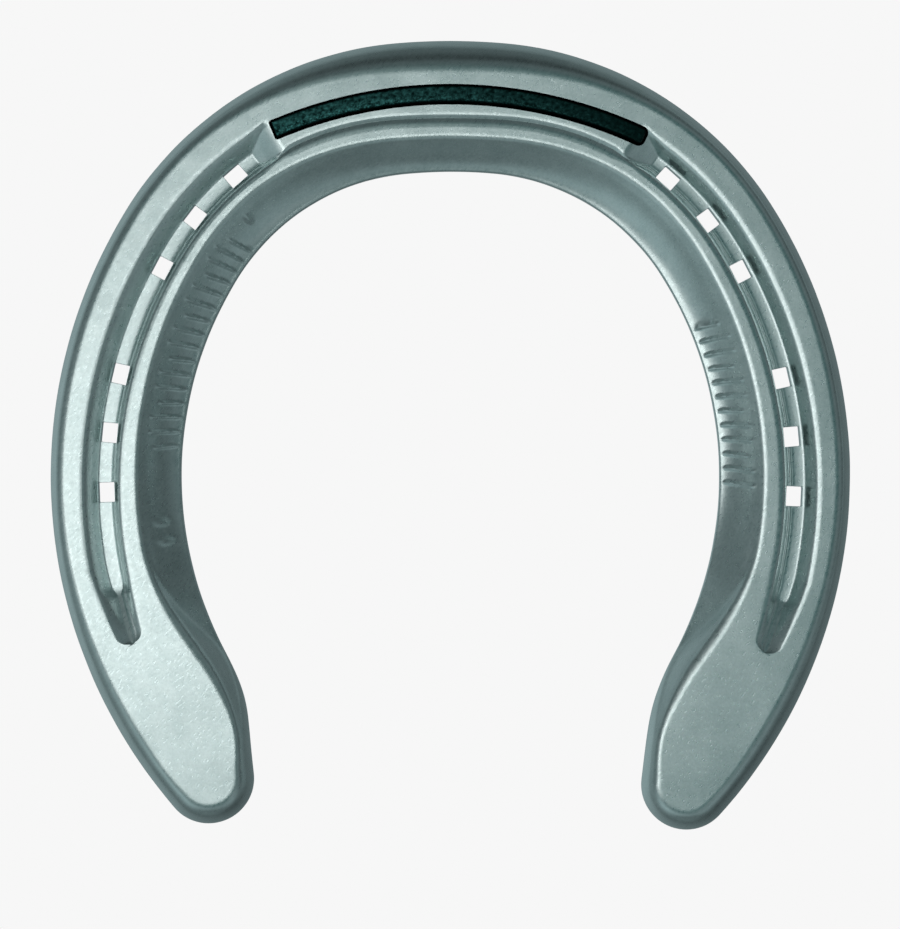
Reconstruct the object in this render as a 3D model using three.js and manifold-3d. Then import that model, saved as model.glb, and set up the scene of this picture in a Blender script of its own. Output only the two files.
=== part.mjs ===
// A forged aluminium horseshoe with a steel wear bar let into its toe.
//
// Millimetres. +Y points at the toe, +Z is the ground side, and z = 0 is the face that bears on
// the hoof. The origin is the middle of the shoe's box, on the hoof face.
//
// Two distances place everything: "reach" is walked along the outer edge from the middle of the
// toe, and "inset" is measured square in from the outer edge. Heights are z.
import * as THREE from 'three';
import { mergeVertices } from 'three/addons/utils/BufferGeometryUtils.js';
import Module from 'manifold-3d';

const wasm = await Module();
wasm.setup();
const { clamp, lerp, smoothstep, degToRad } = THREE.MathUtils;

// ---- Driving dimensions ----

const THICKNESS = 9;
const WEB = 20;

// Outer edge in plan, one side, as tangent arcs: flattened toe, quarter, branch.
const TOE_Y = 60.2;
const OUTER_ARCS = [
  { length: 8.3, radius: 96 },
  { length: 49.9, radius: 53.8 },
  { length: 110, radius: 77.3 },
];

// The two branches differ a little: the right heel is longer, and the creases and the nail holes
// are shifted along the branches by their leads.
const SIDES = [
  { sign: 1, heelReach: 157.9, creaseLead: 0.8, nailLead: -0.1 },
  { sign: -1, heelReach: 156.5, creaseLead: -0.8, nailLead: -0.8 },
];

// Heel: from reach HEEL_START the inner edge leaves the outer edge's offset, swings in on a
// curve, and comes down the inside of a round tip, leaning out by HEEL_LEAN.
const HEEL_START = 139;
const HEEL_TIP_RADIUS = 6.9;
const HEEL_LEAN = degToRad(6.7);
const HEEL_CURVE = { topHandle: 8.5, footHandle: 9 };

// Edges. The wall of the outer edge leans in by DRAFT; above it the edge rolls on to the flat.
const EDGE_BREAK = 0.3;
const EDGE_LAND = 1.2;
const DRAFT = 1.1;
const BRANCH_ROLL = { width: 0.45, drop: 0.45 };
const TOE_ROLL = { width: 3.8, drop: 2.4, from: 15, to: 56 };
const HEEL_ROLL = { width: 1.5, drop: 1.6, from: 137, to: 152 };

// Inner side: a dished slope from the rim down to a thin inner edge, which the heel pads end.
const INNER_EDGE_Z = 4.2;
const INNER_EDGE_DRAFT = 0.35;
const RIM_WIDTHS = { toe: 5.2, quarter: 6.6, branch: 6.9 };
const RIM_REACHES = { quarter: 55, branch: 110 };
const RIM_LIP = { width: 0.35, drop: 0.7 };
const SLOPE_SAG = 0.9;
const HEEL_PAD = { from: 112, to: 137, draft: 2.2 };

// Hoof side: the inner part of the face is relieved, so that it stays off the sole.
const RELIEF_WIDTH = 7.5;
const RELIEF_DEPTH = 0.8;

// Crease: a trapezoid groove that carries the nails, its outer wall flatter than its inner one.
const CREASE = { start: 32.6, rampEnd: 38.2, taperStart: 118, floorEnd: 122, end: 131.1 };
const CREASE_MIDDLE = { start: 8.5, taperStart: 7.13, end: 7.6 };
const CREASE_DEPTH = 2.4;
const CREASE_HALF_WIDTH = 2.98;
const CREASE_OUTER_RUN = 2.95;
const CREASE_INNER_RUN = 0.9;
const CREASE_TIP = { radius: 2.1, floorWidth: 0.7, narrowing: 2, least: 0.02 };

// Nail holes: two groups of three a side, each punched from the ground side.
const NAIL_GROUPS = [
  { first: 43.1, pitch: 10.75 },
  { first: 84.35, pitch: 10.25 },
];
const NAILS_IN_GROUP = 3;
const NAIL_HOLE = { length: 3, width: 2.3, fromFloorEdge: 0.15 };
const NAIL_HEAD = { bottomZ: 3, flare: 0.25 };

// Wear bar: an arc of flat steel bar, standing a little proud of the ground face.
const BAR = { radius: 69, middleY: 52.05, halfAngle: 24.15, width: 2.4, height: 4.4, segments: 24 };
const BAR_TURN = 1.2;
const BAR_PROUD = 0.4;
const BAR_CHAMFER = 0.3;
const POCKET_GAP = 0.3;

// Shallow groove that parts the bar's bed from the inner rim at the toe.
const TOE_GROOVE = { middleInset: 12.2, endInset: 11.1, reach: 38, width: 1.8, depth: 0.45 };

// How far a cutting tool runs past the surface that it cuts, and how near two vertices are one.
const OVERSHOOT = 1;
const MERGE_DISTANCE = 1e-4;

// Fineness: steps along the outline, round the heel tip and up a rolled edge.
const RIB_STEP = 2.4;
const TIP_STEPS = 12;
const ROLL_STEPS = 4;

// ---- Plan ----

// The outer edge at a reach, with the unit vector square in from it and the angle turned so far.
function outerEdge(reach) {
  let angle = 0;
  let x = 0;
  let y = TOE_Y;
  let left = reach;
  for (const { length, radius } of OUTER_ARCS) {
    const turned = angle + Math.min(left, length) / radius;
    x += radius * (Math.sin(turned) - Math.sin(angle));
    y += radius * (Math.cos(turned) - Math.cos(angle));
    angle = turned;
    left -= length;
    if (left <= 0) break;
  }
  const inward = new THREE.Vector2(-Math.sin(angle), -Math.cos(angle));
  return { edge: new THREE.Vector2(x, y), inward, angle };
}

// A point of the web on one side of the shoe. A negative reach is on the other side of the toe.
function webPoint(sign, reach, inset, z) {
  const { edge, inward } = outerEdge(Math.abs(reach));
  const p = edge.clone().addScaledVector(inward, inset);
  return new THREE.Vector3(sign * Math.sign(reach || 1) * p.x, p.y, z);
}

// The heel's own outline: the centre of its round tip, and the curve of its inner edge.
function heelPlan(heelReach) {
  const start = outerEdge(HEEL_START);
  const end = outerEdge(heelReach);
  const centre = end.edge.clone().addScaledVector(end.inward, HEEL_TIP_RADIUS);
  const across = new THREE.Vector2(-Math.cos(HEEL_LEAN), Math.sin(HEEL_LEAN));
  const along = new THREE.Vector2(Math.sin(HEEL_LEAN), Math.cos(HEEL_LEAN));
  const heading = new THREE.Vector2(Math.cos(start.angle), -Math.sin(start.angle));
  const top = start.edge.clone().addScaledVector(start.inward, WEB);
  const foot = centre.clone().addScaledVector(across, HEEL_TIP_RADIUS);
  const innerEdge = new THREE.CubicBezierCurve(
    top,
    top.clone().addScaledVector(heading, HEEL_CURVE.topHandle),
    foot.clone().addScaledVector(along, HEEL_CURVE.footHandle),
    foot,
  );
  return { centre, innerEdge, tipFrom: Math.PI / 2 - end.angle, tipTo: -Math.PI - HEEL_LEAN };
}

// ---- Section of the blank ----
// Each profile is a list of [inset from its own edge, z], from the hoof face up to the flat of
// the ground face. All have the same number of points, so that neighbours can be joined.

function rolledProfile(draft, roll) {
  const wallTop = THICKNESS - roll.drop;
  const points = [[EDGE_LAND, 0], [EDGE_BREAK, 0], [0, EDGE_BREAK]];
  for (let i = 0; i <= ROLL_STEPS; i += 1) {
    const a = (i / ROLL_STEPS) * Math.PI / 2;
    points.push([draft + roll.width * (1 - Math.cos(a)), wallTop + roll.drop * Math.sin(a)]);
  }
  return points;
}

function mixed(a, b, t) {
  return a.map(([inset, z], i) => [lerp(inset, b[i][0], t), lerp(z, b[i][1], t)]);
}

const branchProfile = rolledProfile(DRAFT, BRANCH_ROLL);
const toeProfile = rolledProfile(DRAFT, TOE_ROLL);
const heelProfile = rolledProfile(DRAFT, HEEL_ROLL);
const padProfile = rolledProfile(HEEL_PAD.draft, BRANCH_ROLL);

function outerProfile(reach) {
  const toe = 1 - smoothstep(reach, TOE_ROLL.from, TOE_ROLL.to);
  const heel = smoothstep(reach, HEEL_ROLL.from, HEEL_ROLL.to);
  return mixed(mixed(branchProfile, toeProfile, toe), heelProfile, heel);
}

// How far the ground face's inner rim stands from the inner edge: least at the toe.
function rimInset(reach) {
  const { toe, quarter, branch } = RIM_WIDTHS;
  const nearToe = lerp(toe, quarter, smoothstep(reach, 0, RIM_REACHES.quarter));
  return lerp(nearToe, branch, smoothstep(reach, RIM_REACHES.quarter, RIM_REACHES.branch));
}

function slopeProfile(reach) {
  const rim = rimInset(reach);
  const top = [rim - RIM_LIP.width, THICKNESS - RIM_LIP.drop];
  const points = [
    [RELIEF_WIDTH, 0],
    [EDGE_BREAK, RELIEF_DEPTH],
    [0, RELIEF_DEPTH + EDGE_BREAK],
  ];
  for (let i = 0; i < ROLL_STEPS; i += 1) {
    const t = i / (ROLL_STEPS - 1);
    const sag = SLOPE_SAG * 4 * t * (1 - t);
    points.push([lerp(INNER_EDGE_DRAFT, top[0], t), lerp(INNER_EDGE_Z, top[1], t) - sag]);
  }
  points.push([rim, THICKNESS]);
  return points;
}

function innerProfile(reach) {
  const pad = smoothstep(reach, HEEL_PAD.from, HEEL_PAD.to);
  const heel = smoothstep(reach, HEEL_ROLL.from, HEEL_ROLL.to);
  return mixed(mixed(slopeProfile(reach), padProfile, pad), heelProfile, heel);
}

// ---- Ribs: the outline's points, each with its inward direction and its profile ----

function steps(from, to, size) {
  const count = Math.ceil(Math.abs(to - from) / size);
  return Array.from({ length: count + 1 }, (_, i) => lerp(from, to, i / count));
}

function towards(from, to) {
  return to.clone().sub(from).normalize();
}

function sideRibs({ sign, heelReach }) {
  const heel = heelPlan(heelReach);
  const outer = [];
  const inner = [];
  for (const reach of steps(0, HEEL_START, RIB_STEP)) {
    const { edge, inward } = outerEdge(reach);
    const innerEdge = edge.clone().addScaledVector(inward, WEB);
    outer.push({ edge, inward, profile: outerProfile(reach) });
    inner.push({ edge: innerEdge, inward: inward.clone().negate(), profile: innerProfile(reach) });
  }
  for (const reach of steps(HEEL_START, heelReach, RIB_STEP).slice(1)) {
    const t = (reach - HEEL_START) / (heelReach - HEEL_START);
    const { edge } = outerEdge(reach);
    const innerEdge = heel.innerEdge.getPoint(t);
    const spine = edge.clone().lerp(innerEdge, 0.5).lerp(heel.centre, t * t);
    outer.push({ edge, inward: towards(edge, spine), profile: outerProfile(reach) });
    inner.push({ edge: innerEdge, inward: towards(innerEdge, spine), profile: innerProfile(reach) });
  }
  const tip = [];
  for (let i = 1; i < TIP_STEPS; i += 1) {
    const a = lerp(heel.tipFrom, heel.tipTo, i / TIP_STEPS);
    const outward = new THREE.Vector2(Math.cos(a), Math.sin(a));
    const edge = heel.centre.clone().addScaledVector(outward, HEEL_TIP_RADIUS);
    tip.push({ edge, inward: outward.negate(), profile: heelProfile });
  }
  const flip = new THREE.Vector2(sign, 1);
  return [...outer, ...tip, ...inner.reverse()].map(({ edge, inward, profile }) => ({
    edge: edge.clone().multiply(flip),
    inward: inward.clone().multiply(flip),
    profile,
  }));
}

// ---- Solids ----

// A closed geometry from rings of equally many points. capFaces triangulates an end ring.
function ringSolid(rings, capFaces = fanFaces) {
  const count = rings[0].length;
  const index = [];
  for (let r = 0; r + 1 < rings.length; r += 1) {
    for (let i = 0; i < count; i += 1) {
      const a = r * count + i;
      const b = r * count + ((i + 1) % count);
      index.push(a, b, b + count, a, b + count, a + count);
    }
  }
  const last = (rings.length - 1) * count;
  for (const [a, b, c] of capFaces(rings[0])) index.push(c, b, a);
  for (const [a, b, c] of capFaces(rings[rings.length - 1])) index.push(last + a, last + b, last + c);
  const geometry = new THREE.BufferGeometry().setFromPoints(rings.flat());
  geometry.setIndex(signedVolume(rings.flat(), index) > 0 ? index : index.reverse());
  return geometry;
}

function fanFaces(ring) {
  return ring.slice(2).map((_, i) => [0, i + 1, i + 2]);
}

function planFaces(ring) {
  const plan = ring.map((p) => new THREE.Vector2(p.x, p.y));
  const clockwise = THREE.ShapeUtils.isClockWise(plan);
  const faces = THREE.ShapeUtils.triangulateShape(plan, []);
  return clockwise ? faces.map(([a, b, c]) => [c, b, a]) : faces;
}

function signedVolume(points, index) {
  let sum = 0;
  for (let i = 0; i < index.length; i += 3) {
    const [a, b, c] = [points[index[i]], points[index[i + 1]], points[index[i + 2]]];
    sum += a.dot(new THREE.Vector3().crossVectors(b, c));
  }
  return sum;
}

function toSolid(geometry) {
  const bare = geometry.clone();
  bare.deleteAttribute('normal');
  bare.deleteAttribute('uv');
  const merged = mergeVertices(bare, MERGE_DISTANCE);
  return new wasm.Manifold(new wasm.Mesh({
    numProp: 3,
    vertProperties: merged.attributes.position.array,
    triVerts: new Uint32Array(merged.index.array),
  }));
}

function toGeometry(solid) {
  const { vertProperties, triVerts } = solid.getMesh();
  const geometry = new THREE.BufferGeometry();
  geometry.setAttribute('position', new THREE.BufferAttribute(vertProperties, 3));
  geometry.setIndex(new THREE.BufferAttribute(triVerts, 1));
  geometry.computeVertexNormals();
  return geometry;
}

// The bar of metal bent to shape and finished round its edges, before it is creased and punched.
function blank() {
  const right = sideRibs(SIDES[0]);
  const left = sideRibs(SIDES[1]).reverse().slice(1, -1);
  const ribs = [...right, ...left];
  const rings = ribs[0].profile.map((_, level) => ribs.map(({ edge, inward, profile }) => {
    const [inset, z] = profile[level];
    return new THREE.Vector3(edge.x + inward.x * inset, edge.y + inward.y * inset, z);
  }));
  return toSolid(ringSolid(rings, planFaces));
}

// How far along the way from one value to another a reach has come, from 0 to 1.
function share(reach, from, to) {
  return clamp((reach - from) / (to - from), 0, 1);
}

// Middle of the crease, which drifts towards the outer edge from toe to heel, then back.
function creaseInset(reach) {
  const along = share(reach, CREASE.start, CREASE.taperStart);
  const back = share(reach, CREASE.taperStart, CREASE.end);
  return lerp(lerp(CREASE_MIDDLE.start, CREASE_MIDDLE.taperStart, along), CREASE_MIDDLE.end, back);
}

// Half the crease's width at the ground face: it narrows at the heel to a round end.
function creaseHalf(reach) {
  const { radius, least } = CREASE_TIP;
  const past = reach - (CREASE.end - radius);
  if (past > 0) return Math.sqrt(Math.max(radius ** 2 - past ** 2, (least * radius) ** 2));
  return lerp(CREASE_HALF_WIDTH, radius, share(reach, CREASE.taperStart, CREASE.end - radius));
}

// The crease's section at a reach: a ramp down at the toe, a full trapezoid along the branch,
// and at the heel a vee that rises and narrows to the round end.
function creaseSection(reach) {
  const ramp = share(reach, CREASE.start, CREASE.rampEnd);
  const runOut = share(reach, CREASE.end, CREASE.floorEnd);
  const depthShare = Math.max(Math.min(ramp, runOut), CREASE_TIP.least);
  const middle = creaseInset(reach);
  const half = creaseHalf(reach);
  const wallShare = Math.min(depthShare, half / CREASE_HALF_WIDTH);
  const floorFrom = middle - half + CREASE_OUTER_RUN * wallShare;
  const floorTo = middle + half - CREASE_INNER_RUN * wallShare;
  const floorMiddle = (floorFrom + floorTo) / 2;
  const narrow = share(reach, CREASE.floorEnd, CREASE.floorEnd + CREASE_TIP.narrowing);
  const floorWidth = lerp(floorTo - floorFrom, Math.min(CREASE_TIP.floorWidth, half), narrow);
  return [
    [middle - half, THICKNESS + OVERSHOOT],
    [middle - half, THICKNESS],
    [floorMiddle - floorWidth / 2, THICKNESS - CREASE_DEPTH * depthShare],
    [floorMiddle + floorWidth / 2, THICKNESS - CREASE_DEPTH * depthShare],
    [middle + half, THICKNESS],
    [middle + half, THICKNESS + OVERSHOOT],
  ];
}

function creaseTool({ sign, creaseLead }) {
  const stations = [
    ...steps(CREASE.start, CREASE.rampEnd, RIB_STEP),
    ...steps(CREASE.rampEnd, CREASE.taperStart, RIB_STEP).slice(1),
    ...steps(CREASE.taperStart, CREASE.floorEnd, RIB_STEP).slice(1),
    ...steps(CREASE.floorEnd, CREASE.end, RIB_STEP / 4).slice(1),
  ];
  return toSolid(ringSolid(stations.map((reach) => (
    creaseSection(reach).map(([inset, z]) => webPoint(sign, reach + creaseLead, inset, z))
  ))));
}

const NAIL_REACHES = NAIL_GROUPS.flatMap(({ first, pitch }) => (
  Array.from({ length: NAILS_IN_GROUP }, (_, i) => first + pitch * i)
));

// A punch for one nail: a straight shank, and a head that opens on to the crease's outer wall.
function nailPunch({ sign, nailLead }, reach) {
  const { edge, inward } = outerEdge(reach + nailLead);
  const along = new THREE.Vector2(-inward.y, inward.x);
  const outerWall = creaseInset(reach) - CREASE_HALF_WIDTH;
  const from = outerWall + CREASE_OUTER_RUN + NAIL_HOLE.fromFloorEdge;
  const to = from + NAIL_HOLE.width;
  const ring = (z, low, high, half) => [[low, -half], [high, -half], [high, half], [low, half]]
    .map(([inset, run]) => {
      const p = edge.clone().addScaledVector(inward, inset).addScaledVector(along, run);
      return new THREE.Vector3(sign * p.x, p.y, z);
    });
  const half = NAIL_HOLE.length / 2;
  return toSolid(ringSolid([
    ring(-OVERSHOOT, from, to, half),
    ring(NAIL_HEAD.bottomZ, from, to, half),
    ring(THICKNESS, outerWall + NAIL_HEAD.flare, to, half),
    ring(THICKNESS + OVERSHOOT, outerWall + NAIL_HEAD.flare, to, half),
  ]));
}

function toeGrooveTool() {
  const { middleInset, endInset, width, depth } = TOE_GROOVE;
  const section = (reach) => {
    const inset = lerp(middleInset, endInset, smoothstep(Math.abs(reach), 0, TOE_GROOVE.reach));
    return [
      webPoint(1, reach, inset - width / 2, THICKNESS + OVERSHOOT),
      webPoint(1, reach, inset - width / 2, THICKNESS),
      webPoint(1, reach, inset, THICKNESS - depth),
      webPoint(1, reach, inset + width / 2, THICKNESS),
      webPoint(1, reach, inset + width / 2, THICKNESS + OVERSHOOT),
    ];
  };
  return toSolid(ringSolid(steps(-TOE_GROOVE.reach, TOE_GROOVE.reach, RIB_STEP).map(section)));
}

// A flat arc of bar on the wear bar's centre line, grown all round by a margin, with its edges
// chamfered by bevel.
function arcBar(bottomZ, topZ, margin, bevel) {
  const half = BAR.width / 2 + margin - bevel;
  const swing = degToRad(BAR.halfAngle) + (margin - bevel) / BAR.radius;
  const shape = new THREE.Shape();
  shape.absarc(0, 0, BAR.radius + half, Math.PI / 2 + swing, Math.PI / 2 - swing, true);
  shape.absarc(0, 0, BAR.radius - half, Math.PI / 2 - swing, Math.PI / 2 + swing, false);
  const geometry = new THREE.ExtrudeGeometry(shape, {
    depth: topZ - bottomZ - 2 * bevel,
    bevelEnabled: bevel > 0,
    bevelSize: bevel,
    bevelThickness: bevel,
    bevelSegments: 1,
    curveSegments: BAR.segments,
  });
  geometry.rotateZ(degToRad(-BAR_TURN));
  geometry.translate(0, BAR.middleY - BAR.radius, bottomZ + bevel);
  return geometry;
}

const barTop = THICKNESS + BAR_PROUD;
const barBottom = barTop - BAR.height;

function shoeBody() {
  let body = blank();
  const pocket = arcBar(barBottom - POCKET_GAP, THICKNESS + OVERSHOOT, POCKET_GAP, 0);
  body = body.subtract(toeGrooveTool()).subtract(toSolid(pocket));
  for (const side of SIDES) {
    body = body.subtract(creaseTool(side));
    for (const reach of NAIL_REACHES) body = body.subtract(nailPunch(side, reach));
  }
  return toGeometry(body);
}

// ---- Materials and assembly ----

const aluminium = new THREE.MeshStandardMaterial({ color: 0xa9b6b5, roughness: 0.42, metalness: 1 });
const steel = new THREE.MeshStandardMaterial({ color: 0x12302d, roughness: 0.55, metalness: 0.9 });

const horseshoe = new THREE.Group();

const body = new THREE.Mesh(shoeBody(), aluminium);
body.name = 'shoe_body';
horseshoe.add(body);

const wearBar = new THREE.Mesh(arcBar(barBottom, barTop, 0, BAR_CHAMFER), steel);
wearBar.name = 'toe_wear_bar';
horseshoe.add(wearBar);

export default horseshoe;
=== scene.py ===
"""The looks of a forged aluminium horseshoe with a steel wear bar in its toe, seen ground side up.

Lengths in this script are millimetres in the CAD frame: +Y points at the toe, +Z is the ground
side and z = 0 is the hoof face. Meshes are cut in millimetres and become metres in finish_piece.

"reach" is walked along the outer edge from the middle of the toe, and "inset" is measured square
in from an edge, the outer one unless a comment says the inner one.
"""

import math

import bmesh
import bpy
from mathutils import Matrix, Vector, noise


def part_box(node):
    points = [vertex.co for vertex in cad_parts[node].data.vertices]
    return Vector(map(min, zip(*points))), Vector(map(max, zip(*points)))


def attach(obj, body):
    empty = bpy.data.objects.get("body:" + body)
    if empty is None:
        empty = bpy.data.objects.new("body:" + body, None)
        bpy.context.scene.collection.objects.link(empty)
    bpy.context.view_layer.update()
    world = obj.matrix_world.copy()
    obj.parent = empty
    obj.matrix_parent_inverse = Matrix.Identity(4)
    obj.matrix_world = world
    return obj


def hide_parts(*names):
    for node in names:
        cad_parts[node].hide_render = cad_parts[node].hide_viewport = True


MM = 0.001

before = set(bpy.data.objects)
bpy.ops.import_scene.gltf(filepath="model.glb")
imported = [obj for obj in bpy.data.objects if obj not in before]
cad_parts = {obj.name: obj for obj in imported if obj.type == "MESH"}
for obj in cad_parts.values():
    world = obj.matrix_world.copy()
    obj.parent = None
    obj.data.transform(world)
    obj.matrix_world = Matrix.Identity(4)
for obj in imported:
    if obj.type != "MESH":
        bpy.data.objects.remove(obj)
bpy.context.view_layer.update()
shoe_low, shoe_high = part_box("shoe_body")
bar_low, bar_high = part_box("toe_wear_bar")

# ---- Driving dimensions ----

THICKNESS = (shoe_high.z - shoe_low.z) / MM
TOE_Y = shoe_high.y / MM
WEB = 20
OUTER_ARCS = ((8.3, 96), (49.9, 53.8), (110, 77.3))  # length and radius, toe to heel

# "floor" shifts the two edges of the crease's floor and "rim" its inner lip. "marks" are stretches
# of raised strokes along the slope. Each of "pips" is a reach, the insets that a round pip runs
# between, and its half width.
RIGHT = {
    "sign": 1, "heel_reach": 157.9, "crease_lead": 0.8, "nail_lead": -0.1,
    "floor": (-0.5, -0.65), "rim": -0.35,
    "marks": ((71, 104),), "pips": (),
}
LEFT = {
    "sign": -1, "heel_reach": 156.5, "crease_lead": -0.8, "nail_lead": -0.8,
    "floor": (-0.1, -0.05), "rim": 0.05,
    "marks": ((52, 98),), "pips": ((46.3, 4.2, 4.4, 1.15), (110.3, 3.1, 3.8, 1.25), (114.1, 2.7, 3.4, 1.25)),
}

HEEL_START = 139
HEEL_TIP_RADIUS = 6.9
HEEL_LEAN = math.radians(6.7)
HEEL_HANDLES = (8.5, 9)

EDGE_BREAK = 0.3
DRAFT = 1.1
WALL_BULGE = 1.8  # 1 would be a straight wall

# The outer edge's roll on the branch, then what the toe and the heel add to it.
ROLL_WIDTHS = (1.45, 2.4, 0.7)
ROLL_DROPS = (0.5, 2.12, 1.2)
ROLL_POWERS = (3, -0.4)
TOE_ROLL_REACHES = (2, 48)
HEEL_ROLL_REACHES = (105, 152)

# Inner side: a dished slope from the rim down to the inner edge, which the heel pad ends.
INNER_EDGE_Z = 4.2
INNER_EDGE_DRAFT = 0.12
INNER_CORNER = 0.4
RIM_INSETS, RIM_REACHES = (4.75, 6.3), (4, 46)
SLOPE_POWERS, SLOPE_REACHES = (1.75, 1.1), (90, 122)
SLOPE_BLEND, RIM_BLEND = 0.6, 1.7  # how softly the slope meets the pad's wall, and both the flat
LIP_START = 0.35  # past the top of the slope or of the pad's wall
LIP_WIDTH, LIP_DROP = 0.7, 0.11  # how gently each flat starts to fall at its edges
PAD_LIP_WIDTH, PAD_LIP_DROP = 1.6, 0.38  # and the heel pad at its inner one
PAD_LIP_REACHES = (116, 134)
PAD_INSET, PAD_WALL_WIDTH, PAD_FOOT_Z = 2.6, 2.3, 0.8
PAD_REACHES = (114, 142)
PAD_FOOT_REACHES = (120, 137)
HEEL_TIP_REACHES = (137, 152)  # where the pad's inner side turns into the outer edge's section
FLAT_MARGIN = 0.35  # of the flat that belongs to the inner side's points

# Hoof side, out of sight in use.
RELIEF_WIDTH, RELIEF_LEAST_WIDTH = 7.5, 2
RELIEF_DEPTH = 0.8
RELIEF_REACHES = (112, 137)

# The forging's unevenness: waves to the millimetre, and their height.
LONG_WAVES = (0.16, 0.03)
RIPPLE = (0.7, 0.004)

# The crease that the nails go in: its reaches from the toe's end on, then its section.
CREASE_START, CREASE_RAMP_END, CREASE_TAPER, CREASE_FLOOR_END, CREASE_END = 32.6, 38.2, 118, 122, 131.1
CREASE_MIDDLES = (8.5, 7.13, 7.6)  # inset at its start, where it starts to taper, and at its end
CREASE_DEPTH = 2.4
CREASE_HALF_WIDTH = 2.98
CREASE_OUTER_RUN = 2.95
CREASE_INNER_RUN = 0.9
CREASE_TIP_RADIUS = 2.1
CREASE_TIP_FLOOR = 0.7
CREASE_SHOULDER = 0.65  # the outer wall starts this far inside the crease's nominal edge
CREASE_RUN_OUT = 1.8  # the run-out would reach the flat this far past the crease's round tip
CREASE_FLOOR_ROUND = (1.3, 0.3)  # the floor's round end, before and past its nominal one
TOE_GROOVE_DEPTH = 0.34
TOE_GROOVE_MIDDLES, TOE_GROOVE_END = (11.85, 10.8), 38  # insets at its two ends, and its reach

# Nail holes, six a side, each with a head that opens up the crease's outer wall.
NAIL_REACHES = [43.1 + 10.75 * i for i in range(3)] + [84.35 + 10.25 * i for i in range(3)]
NAIL_LENGTH, NAIL_WIDTH = 3.0, 2.3
NAIL_FROM_FLOOR_EDGE = 0.15
NAIL_HEAD_BOTTOM = 3.0
NAIL_FLARE = 0.9  # how far the head opens up that wall
NAIL_EXIT = 0.25  # below this the hole widens a little towards the hoof
NAIL_DRAFT = 0.2
NAIL_CORNER = 0.1

# The plain raised strokes and pips on the slope.
MARK_PITCH = 2.9
MARK_HEIGHT = 0.4
MARK_HALF_WIDTH = 0.58
MARK_FOOT, MARK_TOP = 1.3, 4.9  # insets from the inner edge of a stroke's two ends
MARK_LEAN = 0.35
SHORT_MARK = 0.9  # every third stroke is shorter by this

# The wear bar's arc and the pocket round it.
BAR_RADIUS = 69
BAR_CENTRE_Y = 52.05 - BAR_RADIUS
BAR_HALF_ANGLE = math.radians(24.15)
BAR_TURN = math.radians(1.2)
BAR_WIDTH = 2.4
BAR_TOP = bar_high.z / MM
BAR_BOTTOM = bar_low.z / MM
POCKET_GAP = 0.3
POCKET_INNER_GAP = 0.45
BAR_ENDS = (0.05, 0.6)  # corner radii at the left and the right end
POCKET_ENDS = (0.05, 0.7)

OVERSHOOT = 1  # how far a cutting tool runs past the surface that it cuts

# The bar's worn top: waves of its pitting to the millimetre and their height, then how far it is worn.
PITS, FINE_PITS = (1.3, 0.05), (3.1, 0.03)
BAR_WEAR = 0.06

# How finely the meshes are cut.
STATION_STEP = 0.9  # from one section to the next along the outer edge
FINE_STEP = 0.22
FINE_REACHES = ((31, 39), (121, 132))  # the crease's ramp and its run-out
TIP_STEPS = 22
WALL_POINTS = 5
EDGE_POINTS = 27  # points of a section from a foot up to the flat of the ground face
ARC_STEPS = 120  # along the wear bar
MERGE_DISTANCE = 1e-3
SHOE_SHARP, BAR_SHARP = 38, 50  # degrees between two faces from which their edge is shaded sharp


# ---- Small helpers ----

def share(value, start, end):
    """How far a value has come from start to end, from 0 to 1."""
    return min(max((value - start) / (end - start), 0.0), 1.0)


def ease(value, start, end):
    t = share(value, start, end)
    return t * t * (3 - 2 * t)


def mix(a, b, t):
    return a + (b - a) * t


def mix_points(a, b, t):
    return [(mix(p[0], q[0], t), mix(p[1], q[1], t)) for p, q in zip(a, b)]


def soft_min(a, b, width):
    h = min(max(0.5 + 0.5 * (b - a) / width, 0.0), 1.0)
    return mix(b, a, h) - width * h * (1 - h)


def soft_max(a, b, width):
    return -soft_min(-a, -b, width)


def rounded(corners):
    """A polyline through corners (inset, z, radius, points), each rounded by a short curve."""
    path = []
    last = len(corners) - 1
    for i, (x, z, radius, count) in enumerate(corners):
        if count == 1 or i in (0, last):
            path.append((x, z))
            continue
        here = Vector((x, z))
        before = Vector(corners[i - 1][:2]) - here
        after = Vector(corners[i + 1][:2]) - here
        start = here + before.normalized() * min(radius, before.length * 0.48)
        end = here + after.normalized() * min(radius, after.length * 0.48)
        for k in range(count):
            t = k / (count - 1)
            point = start.lerp(here, t).lerp(here.lerp(end, t), t)
            path.append((point.x, point.y))
    return path


# ---- Plan ----

def outer_edge(reach):
    """Point, inward direction and heading angle of the outer edge on the right-hand side."""
    angle, x, y, left = 0.0, 0.0, TOE_Y, reach
    for length, radius in OUTER_ARCS:
        turned = angle + min(left, length) / radius
        x += radius * (math.sin(turned) - math.sin(angle))
        y += radius * (math.cos(turned) - math.cos(angle))
        angle = turned
        left -= length
        if left <= 0:
            break
    return Vector((x, y)), Vector((-math.sin(angle), -math.cos(angle))), angle


def bezier(points, t):
    a, b, c, d = points
    return a.lerp(b, t).lerp(b.lerp(c, t), t).lerp(b.lerp(c, t).lerp(c.lerp(d, t), t), t)


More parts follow.
